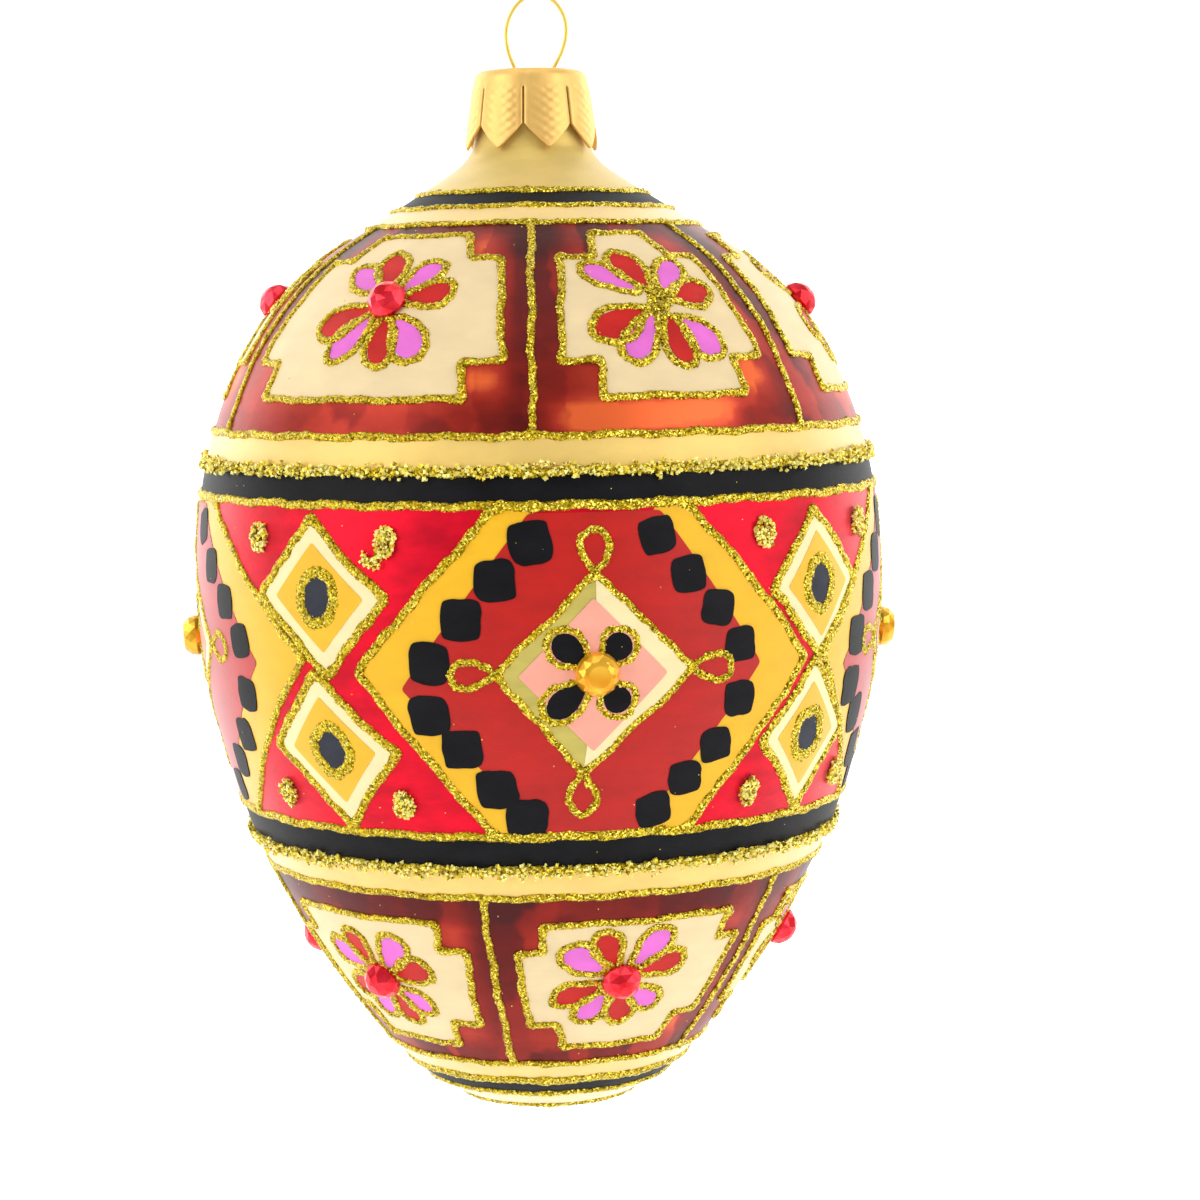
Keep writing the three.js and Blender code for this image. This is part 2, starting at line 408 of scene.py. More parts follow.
def egg_piece(name, vertices, faces, materials, normals=None, face_slots=None):
    """A piece of the decorated glass, from arrays of metres."""
    mesh = bpy.data.meshes.new(name)
    mesh.from_pydata([tuple(v) for v in vertices], [], [tuple(f) for f in faces])
    for material in materials:
        mesh.materials.append(material)
    if face_slots is not None:
        mesh.polygons.foreach_set("material_index", face_slots)
    mesh.shade_smooth()
    if normals is not None:
        mesh.normals_split_custom_set_from_vertices([tuple(n) for n in normals])
    return attach(name, mesh, "egg")


def joined(parts):
    """The vertices and faces of several meshes as one mesh's."""
    vertices, faces, start = [], [], 0
    for points, part_faces in parts:
        vertices.append(points)
        faces += [tuple(v + start for v in face) for face in part_faces]
        start += len(points)
    return np.vstack(vertices), faces


def ring_faces(rows, columns):
    """Quads of a grid whose rows are closed rings; they look out where rows go down the egg."""
    row, column = np.meshgrid(np.arange(rows - 1), np.arange(columns), indexing="ij")
    this, below = row * columns, (row + 1) * columns
    beyond = (column + 1) % columns
    quads = [this + column, below + column, below + beyond, this + beyond]
    return np.stack(quads, axis=-1).reshape(-1, 4)


def round_turns(columns):
    """Evenly spaced turns right round the egg, as one row."""
    return np.linspace(0, 360, columns, endpoint=False)[None, :]


RING_COLUMNS = 224
RING_ROW = 0.8  # mm down the glass


def ring_of_paint(name, top, bottom, colour):
    """A closed thin band of paint right round the egg."""
    rows = max(2, int(round((arc_at(bottom) - arc_at(top)) / RING_ROW)))
    arcs = np.linspace(arc_at(top), arc_at(bottom), rows + 1)[:, None]
    outer, out = on_egg(round_turns(RING_COLUMNS), arcs, PAINT_STEP)
    inner, _ = on_egg(round_turns(RING_COLUMNS), arcs[::-1], -PAINT_STEP)
    vertices = np.concatenate([outer, inner]).reshape(-1, 3)
    normals = np.concatenate([out, -out[::-1]]).reshape(-1, 3)
    loop = 2 * (rows + 1)
    faces = ring_faces(loop + 1, RING_COLUMNS) % (loop * RING_COLUMNS)
    egg_piece(name, vertices, faces, [PAINTS[colour]], normals)


def to_chart(corners):
    """(turn, height) corners as flat (x, y) in about millimetres, and the turn scale."""
    corners = np.array(corners, float)
    scale = radians(1) * float(radius_at(corners[:, 1]).mean())
    return np.stack([corners[:, 0] * scale, -arc_at(corners[:, 1])], axis=1), scale


def divided(points, step, closed=True):
    """The points with more between them, none further apart than step."""
    ends = np.roll(points, -1, axis=0) if closed else points[1:]
    spans = []
    for start, end in zip(points, ends):
        count = max(1, int(ceil(np.linalg.norm(end - start) / step)))
        spans.append(start + (end - start) * np.linspace(0, 1, count, endpoint=False)[:, None])
    return np.vstack(spans if closed else [*spans, points[-1:]])


def rounded(points, radius):
    """Every corner of a closed outline swept round, as a loaded brush leaves it."""
    swept = []
    t = np.linspace(0, 1, 5)[:, None]
    for before, corner, after in zip(np.roll(points, 1, axis=0), points, np.roll(points, -1, axis=0)):
        back, ahead = before - corner, after - corner
        start = corner + back * min(0.45, radius / np.linalg.norm(back))
        end = corner + ahead * min(0.45, radius / np.linalg.norm(ahead))
        swept.append((1 - t) ** 2 * start + 2 * t * (1 - t) * corner + t**2 * end)
    return np.vstack(swept)


def inside(points, outline):
    """Which points lie inside a closed outline."""
    x, y = points[:, 0, None], points[:, 1, None]
    start, end = outline, np.roll(outline, -1, axis=0)
    crosses = (start[:, 1] > y) != (end[:, 1] > y)
    slope = (end[:, 0] - start[:, 0]) / np.where(end[:, 1] == start[:, 1], 1, end[:, 1] - start[:, 1])
    left = x < start[:, 0] + (y - start[:, 1]) * slope
    return (crosses & left).sum(axis=1) % 2 == 1


EDGE_STEP = 0.6  # between the points on a patch's edge, mm
GRID_STEP = 1.1  # between the points inside it


def patch_mesh(corners, layer, radius):
    """Vertices, faces and normals of a closed thin patch of paint inside (turn, height) corners."""
    outline, scale = to_chart(corners)
    area = np.cross(outline, np.roll(outline, -1, axis=0)).sum()
    outline = outline[::-1] if area < 0 else outline
    outline = divided(rounded(outline, radius) if radius else outline, EDGE_STEP)
    columns, rows = (
        np.arange(low + GRID_STEP / 2, high, GRID_STEP) for low, high in zip(outline.min(0), outline.max(0))
    )
    grid = np.stack(np.meshgrid(columns, rows), -1).reshape(-1, 2)
    if len(grid):
        grid = grid[inside(grid, outline)]
        away = np.linalg.norm(grid[:, None] - outline[None], axis=-1).min(axis=1)
        grid = grid[away > 0.45 * GRID_STEP]
    flat = np.vstack([outline, grid])
    border = list(range(len(outline)))
    found, _, triangles, *_ = delaunay_2d_cdt([Vector(p) for p in flat], [], [border], 1, 1e-6)
    flat = np.array([tuple(p) for p in found])
    top, out = on_egg(flat[:, 0] / scale, -flat[:, 1], layer * PAINT_STEP)
    bottom, _ = on_egg(flat[:, 0] / scale, -flat[:, 1], -PAINT_STEP)
    count = len(flat)
    edges = {(a, b) for t in triangles for a, b in zip(t, t[1:] + t[:1])}
    walls = [(b, a, a + count, b + count) for a, b in edges if (b, a) not in edges]
    under = [tuple(v + count for v in reversed(t)) for t in triangles]
    return np.vstack([top, bottom]), [*triangles, *under, *walls], np.vstack([out, -out])


def patches(name, outlines, layer, colour, radius=0.8):
    """One piece of one paint, made of a patch with rounded corners for each outline."""
    made = [patch_mesh(corners, layer, radius) for corners in outlines]
    vertices, faces = joined([(points, part_faces) for points, part_faces, _ in made])
    egg_piece(name, vertices, faces, [PAINTS[colour]], np.vstack([out for *_, out in made]))


LINE_STEP = 0.26  # mm along a line between its sections
LINE_SECTION = [-30, 10, 50, 90, 130, 170, 210]  # directions round it from its right, degrees
LINE_WAVES = [(8, 0.09), (3, 0.05)]  # (length, amount) in mm
KNOTTED = 14  # a line of fewer corners than this has pools of glue at them


def line_mesh(corners, rng, kind, width):
    """Vertices and faces of one glitter line along (turn, height) corners: a low bead with a ragged skin.

    Its kind is "open", "closed", or "ring", whose last corner is its first a full turn on. It wanders as
    a hand does, and the glue pools at its corners.
    """
    path, scale = to_chart(corners)
    knots = path if len(path) < KNOTTED else path[:0]
    if kind == "closed":
        path = rounded(path, 0.5)
    path = divided(path, LINE_STEP, kind == "closed")
    if kind == "ring":
        path = path[:-1]
    count = len(path)
    waves = np.arange(count)[:, None] * 2 * pi / count
    for length, amount in LINE_WAVES:
        cycles = max(1, round(count * LINE_STEP / length))
        path = path + amount * np.sin(waves * cycles + rng.uniform(0, 2 * pi, 2))
    pooled = np.ones((count, 1))
    if len(knots):
        near = np.linalg.norm(path[:, None] - knots[None], axis=-1).min(axis=1)
        pooled += 0.32 * np.exp(-((near / 0.7) ** 2))[:, None]
    spots, out = on_egg(path[:, 0] / scale, -path[:, 1], 0)
    ahead = np.roll(spots, -1, axis=0) - np.roll(spots, 1, axis=0)
    if kind == "open":
        ahead[0], ahead[-1] = spots[1] - spots[0], spots[-1] - spots[-2]
    side = np.cross(ahead, out)
    side /= np.linalg.norm(side, axis=1)[:, None]
    angles = np.radians(LINE_SECTION)
    swell = rng.normal(1, 0.08, (count, 1)) * pooled
    across = np.cos(angles) * width / 2 * (np.roll(swell, 1) + swell) / 2
    up = np.sin(angles) * LINE_HEIGHT * swell
    section = side[:, None] * across[..., None] + out[:, None] * up[..., None]
    section += rng.normal(0, 0.034, section.shape)
    vertices = (spots[:, None] + section * MM).reshape(-1, 3)
    sides = len(angles)
    total = count * sides
    rows = count if kind == "open" else count + 1
    faces = list(ring_faces(rows, sides) % total)
    if kind == "open":
        faces += [tuple(range(sides)), tuple(range(total - 1, total - sides - 1, -1))]
    return vertices, faces


def glitter_lines(name, lines, seed, width=LINE_WIDTH, kind="closed"):
    """One piece made of glitter lines of one kind."""
    rng = np.random.default_rng(seed)
    vertices, faces = joined([line_mesh(corners, rng, kind, width) for corners in lines])
    piece = egg_piece(name, vertices, faces, [GLITTER])
    bead = bmesh.new()
    bead.from_mesh(piece.data)
    bmesh.ops.recalc_face_normals(bead, faces=bead.faces)
    bead.to_mesh(piece.data)
    bead.free()


def glitter_ring(name, height, seed, width):
    """A line of glitter right round the egg."""
    glitter_lines(name, [[(0, height), (360, height)]], seed, width, "ring")


LUMP = [(0, 0, 1), (1, 0, 0), (0, 1, 0), (-1, 0, 0), (0, -1, 0), (0, 0, -1)]
LUMP_FACES = [(0, 1, 2), (0, 2, 3), (0, 3, 4), (0, 4, 1), (5, 2, 1), (5, 3, 2), (5, 4, 3), (5, 1, 4)]


def grains(name, places, seed, size):
    """One piece of loose glitter: a small faceted lump at each (turn, height, lift in mm)."""
    rng = np.random.default_rng(seed)
    places = np.array(places)
    count = len(places)
    centres, _ = on_egg(places[:, 0], arc_at(places[:, 1]), places[:, 2])
    axes = np.linalg.qr(rng.normal(size=(count, 3, 3)))[0]
    axes *= np.sign(np.linalg.det(axes))[:, None, None]
    sizes = size * MM * rng.uniform(0.7, 1.25, (count, 1, 1))
    ragged = np.array(LUMP, float) * rng.uniform(0.75, 1.2, (count, len(LUMP), 1)) * sizes
    vertices = (centres[:, None] + ragged @ axes).reshape(-1, 3)
    faces = (np.array(LUMP_FACES)[None] + np.arange(count)[:, None, None] * len(LUMP)).reshape(-1, 3)
    # Each facet takes one gold at random, so some carry a painted glint and some a painted shade.
    slots = rng.choice(len(GRAIN_SHARES), len(faces), p=GRAIN_SHARES).tolist()
    piece = egg_piece(name, vertices, faces, GRAIN_MATERIALS, face_slots=slots)
    piece.data.shade_flat()


# ---- glass ----

def thin_places(dividers, spots):
    """The (turn, height) of spots, given as (mm to the right, height), beside each divider."""
    return [beside(divider, height, right, 0) for divider in dividers for right, height in spots]


# Where one stroke of lacquer lies alone: right-hand notches of the cartouches, strips under the upper ones.
UPPER_THIN = thin_places(UPPER_DIVIDERS, [(-4.3, 34.2), (-4.6, 21.6)])
UPPER_THIN += [(turn, 18) for turn in (*range(6, 38, 4), *range(124, 148, 4), 250, 254)]
LOWER_THIN = thin_places(LOWER_DIVIDERS, [(-3.9, -31.9), (-3.9, -43)])

STROKE_DEPTH = 0.36  # what a stroke adds to the depth of the lacquer
EDGE_DEPTH = 0.12  # what gathers at the foot of a panel
THIN_DEPTH = 0.5  # what a thin place lacks
STROKE_TURNS = 9, 4.2  # how far strokes reach right and left of a divider, degrees
THIN_REACH = 1.9, 1.3  # how far a thin place reaches across and up, mm


def panel_strokes(turn, height, panel, dividers, thin):
    """How deep the lacquer lies in one band of panels.

    Strokes run along its top and bottom edges and beside its dividers, the wider ones on their right.
    """
    top, bottom = panel
    share = (top - height) / (top - bottom)
    along_top = np.exp(-((share / 0.17) ** 4))
    along_bottom = np.exp(-(((share - 0.95) / 0.07) ** 4))
    right_of_line = np.min([(turn - d) % 360 for d in dividers], axis=0)
    left_of_line = np.min([(d - turn) % 360 for d in dividers], axis=0)
    to_right, to_left = STROKE_TURNS
    beside_line = np.exp(-((right_of_line / to_right) ** 4)) + np.exp(-((left_of_line / to_left) ** 4))
    fading = np.clip(1.25 - share, 0.25, 1)
    reach_across, reach_up = THIN_REACH
    thinner = 0
    for spot_turn, spot_height in thin:
        across = np.radians((turn - spot_turn + 180) % 360 - 180) * radius_at(height)
        away = (across / reach_across) ** 2 + ((height - spot_height) / reach_up) ** 2
        thinner = thinner + np.exp(-away)
    strokes = STROKE_DEPTH * (along_top + np.minimum(beside_line, 1) * fading)
    return strokes + EDGE_DEPTH * along_bottom - THIN_DEPTH * np.minimum(thinner, 1)


def tip_skin(columns, outer_arcs, inner_arcs, outer_lift, inner_lift):
    """Vertices, faces and normals of a closed skin over the tip, its outside before its inside."""
    outer, out = on_egg(round_turns(columns), outer_arcs, outer_lift)
    inner, inwards = on_egg(round_turns(columns), inner_arcs, inner_lift)
    rings = np.concatenate([outer[::-1], inner])
    tips, _ = on_egg([0, 0], [ARCS[-1]] * 2, np.array([outer_lift, inner_lift]))
    vertices = np.vstack([rings.reshape(-1, 3), tips])
    normals = np.concatenate([out[::-1], -inwards]).reshape(-1, 3)
    faces = [tuple(face[::-1]) for face in ring_faces(len(rings), columns)]
    last = (len(rings) - 1) * columns
    count = last + columns
    for column in range(columns):
        beyond = (column + 1) % columns
        faces.append((beyond, column, count))
        faces.append((last + column, last + beyond, count + 1))
    return vertices, faces, np.vstack([normals, (0, 0, -1), (0, 0, 1)])


def glass_shell():
    """The hollow glass, its outside lacquered and its inside silvered."""
    columns = 256
    outer_arcs = np.linspace(0, ARCS[-1], 200)[:-1, None]
    inner_arcs = np.linspace(0, ARCS[-1], 70)[:-1, None]
    vertices, faces, normals = tip_skin(columns, outer_arcs, inner_arcs, 0, -WALL)
    rim = len(outer_arcs) * columns
    vertices[rim:rim + columns, 2] = vertices[rim - 1, 2]
    silver = metal("silvered_inside", (0.85, 0.84, 0.8), 0.2)
    slots = [0 if min(face) < rim else 1 for face in faces]
    piece = egg_piece("painted_glass", vertices, faces, [LACQUER, silver], normals, slots)
    local = vertices / MM - (AXIS_X, 0, BELLY_Z)
    turn = np.degrees(np.arctan2(local[:, 0], -local[:, 1]))
    height = local[:, 2]
    upper = 0.2 + panel_strokes(turn, height, UPPER_PANEL, UPPER_DIVIDERS, UPPER_THIN)
    lower = 0.36 + 0.5 * panel_strokes(turn, height, LOWER_PANEL, LOWER_DIVIDERS, LOWER_THIN)
    depth = piece.data.attributes.new("lacquer_depth", "FLOAT", "POINT")
    depth.data.foreach_set("value", np.where(height > 0, upper, lower))
    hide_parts("glass_shell")


def tip_cap():
    """Gold paint over the very tip, inside the last glitter ring."""
    arcs = np.linspace(arc_at(RINGS[-1][2]), ARCS[-1], 9)[:-1, None]
    vertices, faces, normals = tip_skin(120, arcs, arcs, PAINT_STEP, -PAINT_STEP)
    egg_piece("tip_gold", vertices, faces, [PAINTS["pearl"]], normals)


# ---- painted bands and glitter rings ----

def painted_rings():
    for ring in RINGS:
        ring_of_paint(*ring)


def glitter_rings():
    for index, (height, width) in enumerate(GLITTER_RINGS):
        glitter_ring(f"glitter_ring_{index + 1}", height, 100 + index, width)


GRAINS_PER_MM = 11  # of the girth of the egg
COARSE_BED = 0.95  # the width of the fine glitter under them, mm


def grain_rings():
    """Two rings of coarse glitter heaped over a ring of fine glitter."""
    for index, height in enumerate(GRAIN_RINGS):
        name = f"coarse_ring_{index + 1}"
        glitter_ring(f"{name}_bed", height, 200 + index, COARSE_BED)
        rng = np.random.default_rng(210 + index)
        count = int(2 * pi * float(radius_at(height)) * GRAINS_PER_MM)
        turns = rng.uniform(0, 360, count)
        edge = 0.62 + 0.3 * np.sin(np.radians(turns * 47)) * np.sin(np.radians(turns * 31))
        heights = height + rng.uniform(-1, 1, count) * edge
        lifts = rng.uniform(0.2, 0.6, count)
        grains(f"{name}_grains", np.stack([turns, heights, lifts], 1), 220 + index, COARSE_GRAIN)


# ---- flower panels ----

def neighbours(turn, dividers):
    """The dividers to the left and right of a turn."""
    left = max((d - turn) % 360 - 360 for d in dividers)
    right = min((d - turn) % 360 for d in dividers)
    return turn + left, turn + right


def cartouche(left, right, gaps, heights):
    """A stepped oblong between two dividers, from its gaps and its heights."""
    top_gap, wide_gap, bottom_gap = gaps
    top, upper_step, lower_step, bottom = heights
    side = [
        (top_gap, top), (top_gap, upper_step), (wide_gap, upper_step),
        (wide_gap, lower_step), (bottom_gap, lower_step), (bottom_gap, bottom),
    ]
    down = [beside(right, height, -gap, 0) for gap, height in side]
    back_up = [beside(left, height, gap, 0) for gap, height in reversed(side)]
    return down + back_up


def petal(turn, height, angle, inner, outer, width):
    """A drop-shaped outline between two distances in mm from a flower's middle, wider at its outer end."""
    along = (cos(radians(angle)), sin(radians(angle)))
    outline = []
    for step in range(20):
        t = 2 * pi * step / 20
        out = (inner + outer) / 2 + (outer - inner) / 2 * cos(t)
        across = width / 1.9 * sin(t) * (1 + 0.45 * cos(t)) * (1 - 0.12 * cos(2 * t))
        right = out * along[0] - across * along[1]
        up = out * along[1] + across * along[0]
        outline.append(beside(turn, height, right, up))
    return outline


# Petals of a flower, violet and red in turn: (angle from the right in degrees, inner and outer end, width).
UPPER_PETALS = [
    (142, 2.5, 7.5, 1.9), (110, 1.8, 6.9, 2.1), (57, 1.8, 6.3, 1.9), (14, 1.8, 6.2, 2.1),
    (-52, 2.6, 7.9, 2.3), (-83, 1.8, 7.2, 2.0), (-128, 2.0, 8.0, 2.0), (-155, 2.0, 8.1, 2.3),
]
LOWER_PETALS = [
    (148, 2.2, 7.2, 2.1), (113, 2.0, 6.1, 1.8), (52, 1.9, 6.9, 2.1), (18, 2.0, 6.5, 1.9),
    (-46, 2.0, 5.7, 1.8), (-82, 2.0, 5.9, 1.8), (-121, 2.3, 6.2, 1.8), (-159, 2.0, 6.5, 1.8),
]


def flower_row(row, seed, flowers, dividers, panel, template, gaps, heights):
    """A band of panels: dividers, stepped cartouches and eight-petalled flowers."""
    top, bottom = panel
    side_lines = [[(d, top), (d, bottom)] for d in dividers]
    glitter_lines(f"{row}_dividers", side_lines, seed, kind="open")
    for index, flower in enumerate(flowers):
        place = f"{row}_{index + 1}"
        frame_line = cartouche(*neighbours(flower[0], dividers), gaps, heights)
        patches(f"{place}_cartouche", [frame_line], 1, "panel")
        rng = random.Random(seed + index + 1)
        petals, rims = [], []
        for angle, inner, outer, width in template:
            turned = angle + rng.uniform(-2, 2)
            reach = outer * rng.uniform(0.97, 1.03)
            petals.append(petal(*flower, turned, inner, reach, width))
            rims.append(petal(*flower, turned, inner - 0.4, reach + 0.35, width + 0.65))
        patches(f"{place}_violet_petals", petals[0::2], 3, "violet", radius=0)
        patches(f"{place}_red_petals", petals[1::2], 3, "red", radius=0)
        glitter_lines(f"{place}_petal_lines", rims, seed + index + 20, 0.8)
        glitter_lines(f"{place}_cartouche_line", [frame_line], seed + index + 40)


def flower_panels():
    upper = UPPER_DIVIDERS, UPPER_PANEL, UPPER_PETALS, UPPER_GAPS, UPPER_STEPS
    lower = LOWER_DIVIDERS, LOWER_PANEL, LOWER_PETALS, LOWER_GAPS, LOWER_STEPS
    flower_row("upper_panel", 300, [*UPPER_STONES, BARE_FLOWER], *upper)
    flower_row("lower_panel", 400, LOWER_STONES, *lower)
    glitter_lines("bare_flower_middle", [petal(*BARE_FLOWER, 45, -0.9, 0.9, 1.1)], 480, 1.1)


# ---- medallions ----

def diamond(turn, height, half_turn, half_height, lean=0):
    """Top, left, bottom and right corners; the top leans to the left and the bottom to the right."""
    share = lean * half_height / 7.5
    return [
        (turn - share, height + half_height), (turn - half_turn, height),
        (turn + share, height - half_height), (turn + half_turn, height),
    ]


def square_dab(turn, height, half, rng):
    """One black dab: a square with soft corners and an uneven edge, left by a loaded flat brush."""
    outline = []
    lean = radians(rng.uniform(-14, 14))
    for corner in range(16):
        angle = 2 * pi * corner / 16
        square = (abs(cos(angle)) ** 5 + abs(sin(angle)) ** 5) ** (-1 / 5)
        reach = half * square * rng.uniform(0.92, 1.04)
        outline.append(beside(turn, height, reach * cos(angle + lean), reach * sin(angle + lean)))
    return outline


# The dabs along each slanting side of a medallion, (turn from its middle, height), and their half widths.
LEFT_DABS = [
    (-9.8, 6.8), (-15.2, 3.4), (-20.5, -0.2), (-25.7, -4.3),
    (-26.2, -9.2), (-21.2, -12.4), (-16.0, -16.3), (-11.2, -19.1),
]
RIGHT_DABS = [
    (9.9, 7.2), (14.8, 3.5), (19.8, 0.2), (23.9, -3.4),
    (24.2, -8.6), (20.6, -12.9), (15.5, -15.9), (10.3, -18.8),
]
LEFT_DAB = 2.0
RIGHT_DAB = 1.75
MEDALLION_STRETCH = [1.16, 1, 1, 1]  # how much wider each medallion is right of its stone
# The four black petals round an amber stone: (angle, distance of the outer end).
CROSS_PETALS = [(139, 5.6), (50, 4.9), (222, 6.3), (307, 4.9)]


def medallion(index, turn, middle, stretch):
    """A hexagonal field with two rows of dabs and a looped diamond round its stone.

    Stretch widens what lies right of the stone.
    """
    def placed(corners):
        return [(turn + x * (stretch if x > 0 else 1), y) for x, y in corners]

    name = f"medallion_{index}"
    field = placed([(-15, 10.1), (-38, middle), (-17, -21), (17, -21), (38, middle), (15, 10.1)])
    ground = placed([(-10, 9.5), (-30.5, -6.8), (-8.3, -20.6), (8, -20.6), (28, -5.3), (10.5, 9.5)])
    strip = [(turn - 10, 10.1), (turn - 9, 9.1), (turn + 9, 9.1), (turn + 10, 10.1)]
    diamond_corners = diamond(turn, middle, 15.5, 9.2)
    diamond_corners[2] = (turn - 2, middle - 9.5)
    top, left, bottom, right = diamond_corners
    rng = random.Random(700 + index)
    dabs = [square_dab(*place, LEFT_DAB, rng) for place in placed(LEFT_DABS)]
    dabs += [square_dab(*place, RIGHT_DAB, rng) for place in placed(RIGHT_DABS)]
    pink = diamond(turn - 0.4, middle - 0.2, 11.6, 7.2)
    petals = [petal(turn, middle, angle, 1.2, reach - 0.4, 2.1) for angle, reach in CROSS_PETALS]
    patches(f"{name}_yellow", [field], 2, "yellow")
    patches(f"{name}_crimson", [strip], 3, "crimson")
    patches(f"{name}_brick", [ground], 4, "brick", radius=0.4)
    patches(f"{name}_dabs", dabs, 6, "black", radius=0.35)
    patches(f"{name}_khaki", [diamond_corners], 5, "khaki")
    patches(f"{name}_pale", [[top, right, bottom, (turn, middle)]], 6, "pale", radius=0.3)
    patches(f"{name}_pink", [pink], 7, "pink", radius=0.3)
    patches(f"{name}_petals", petals, 8, "black", radius=0)
    rims = [petal(turn, middle, angle, 0.9, reach, 2.8) for angle, reach in CROSS_PETALS]
    ways = [(top, 90), (left, 180), (bottom, 270), (right, 0)]
    loops = [petal(*corner, way, 0.1, 4.2, 2.1) for corner, way in ways]
    glitter_lines(f"{name}_frame_line", [field], 710 + index, 0.9)
    glitter_lines(f"{name}_diamond_line", [diamond_corners, *loops], 720 + index)
    glitter_lines(f"{name}_petal_lines", rims, 730 + index, 0.85)


def oval(turn, height, half_width, half_height):
    """An oval of half sizes in mm."""
    angles = [2 * pi * step / 18 for step in range(18)]
    return [beside(turn, height, half_width * cos(a), half_height * sin(a)) for a in angles]


def stacked_diamonds(index, turn, lean, half):
    """Two small diamonds, one above the other, between two medallions."""
    for number, (place, height) in enumerate((("upper", 1.5), ("lower", -13.1))):
        name = f"{place}_diamond_{index}"
        seed = 800 + 10 * index + 2 * number
        edge, pale, yellow = (
            diamond(turn, height, half * share, 7.4 * share, lean) for share in (1, 0.985, 0.7)
        )
        middle = oval(turn, height, 2.1, 2.4)
        patches(f"{name}_pale", [pale], 3, "pale")
        patches(f"{name}_yellow", [yellow], 4, "yellow", radius=0.3)
        patches(f"{name}_slate", [middle], 5, "slate", radius=0)
        glitter_lines(f"{name}_line", [edge], seed, 0.95)
        glitter_lines(f"{name}_middle_line", [middle], seed + 1, 1.3)


# One dot was smeared as it was laid: the (right, up) in mm of its tail from its middle.
SMEARED_DOT = (0, 1, 6.9)
SMEAR = [(-0.7, -1.3), (-1.1, -1.9), (-1.7, -2.1), (-2.1, -1.7)]


DOT_GRAINS = 130
TAIL_GRAINS = 14  # at each place along the smear


def coarse_dots():
    """Dabs of coarse glitter in the crimson corners beside the diamonds."""
    rng = np.random.default_rng(900)
    for index, (column, *_) in enumerate(DIAMOND_COLUMNS):
        places = []
        for side in (-1, 1):
            for height in (6.9, -17.9):
                angles = rng.uniform(0, 2 * pi, DOT_GRAINS)
                shares = np.sqrt(rng.uniform(0, 1, DOT_GRAINS))
                spread = np.stack([1.12 * shares * np.cos(angles), 1.4 * shares * np.sin(angles)], 1)
                if (index, side, height) == SMEARED_DOT:
                    tail = np.repeat(SMEAR, TAIL_GRAINS, axis=0)
                    spread = np.vstack([spread, tail + rng.normal(0, 0.24, tail.shape)])
                for right, up in spread:
                    turn, there = beside(column + side * 12.8, height, right, up)
                    places.append((turn, there, rng.uniform(0.1, 0.6)))
        grains(f"coarse_dots_{index + 1}", places, 910 + index, COARSE_GRAIN)


def stray_specks():
    """Single flecks that have settled anywhere on the paint."""
    rng = np.random.default_rng(950)
    count = 420
    places = np.stack([rng.uniform(0, 360, count), rng.uniform(-46, 38, count), np.full(count, 0.3)], 1)
    grains("stray_glitter", places, 951, STRAY_GRAIN)


# ---- stones ----

def stone(name, seat, radius, depth, rings, material, slot):
    """A cut stone glued to the egg: the hull of rings of corners (radius, height, corners, first turn)."""
    turn, height = seat
    base, out = on_egg(turn, arc_at(height), 0.1)
    facing = Vector(out).to_track_quat("Z", "Y").to_matrix()
    cut = bmesh.new()
    for ring_radius, ring_height, corners, first in rings:
        for corner in range(corners):
            angle = radians(first + 360 * corner / corners)
            reach = ring_radius * radius
            local = Vector((cos(angle) * reach, sin(angle) * reach, ring_height * depth))
            cut.verts.new(Vector(base) + facing @ local * MM)
    bmesh.ops.convex_hull(cut, input=cut.verts)
    bmesh.ops.dissolve_limit(cut, angle_limit=0.02, verts=cut.verts, edges=cut.edges)
    bmesh.ops.recalc_face_normals(cut, faces=cut.faces)
    piece = attach(name + "_cut", mesh_from(name + "_cut", cut, material), "egg")
    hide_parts(name)


# Rings of corners of each cut: (share of the radius, share of the height, corners, first corner's turn).
ROSE_CUT = [
    (0.94, 0, 16, 0), (1.0, 0.22, 16, 0), (0.86, 0.6, 8, 22.5), (0.6, 0.86, 8, 0), (0.32, 1.0, 8, 22.5),
]
TABLE_CUT = [
    (0.95, 0, 24, 0), (1.0, 0.25, 24, 0), (0.93, 0.6, 12, 15),
    (0.74, 0.88, 12, 0), (0.68, 0.93, 24, 7), (0.5, 1.0, 24, 0),
]
RED_STONE = 2.0, 1.9  # radius and depth, mm
AMBER_STONE = 2.1, 1.8


def stones():
    # Each stone's darker and lighter colours are painted reflections of its foil.
    red = gem("red_glass", (0.72, 0.002, 0.012), (1.0, 0.03, 0.06), 500)
    amber = gem("amber_glass", (0.86, 0.34, 0.006), (1.0, 0.60, 0.05), 450)
    for row, seats in (("upper", UPPER_STONES), ("lower", LOWER_STONES)):
        for index, seat in enumerate(seats):
            stone(f"red_stone_{row}_{index + 1}", seat, *RED_STONE, ROSE_CUT, red, "red_stone")
    for index, seat in enumerate(AMBER_STONES):
        stone(f"amber_stone_{index + 1}", seat, *AMBER_STONE, TABLE_CUT, amber, "amber_stone")


# ---- cap and hanger ----

# Radii, drops below the cap's top and thickness in mm; turns in degrees.
CAP_HEIGHT = 8.0
CAP_FLAT_R = 4.7
CAP_EDGE_R = 5.8
CAP_EDGE_DROP = 1.1  # where the rounded edge ends
PETAL_TIP_R = 6.8
PETALS = 8
PETAL_COLUMNS = 31
PETAL_TURN = 16.5  # the first petal's middle
NOTCH_DROP = 5.6  # where two petals' lower edges meet
SLIT_DROP = 1.9  # where the slit between two petals starts
SLIT_TURN = 1.5
DOT_RELIEF, DOT_PITCH = 0.04, 0.95
WIRE_HOLE_R = 1.0
HOLE_SIDES = 24
SHEET = 0.3

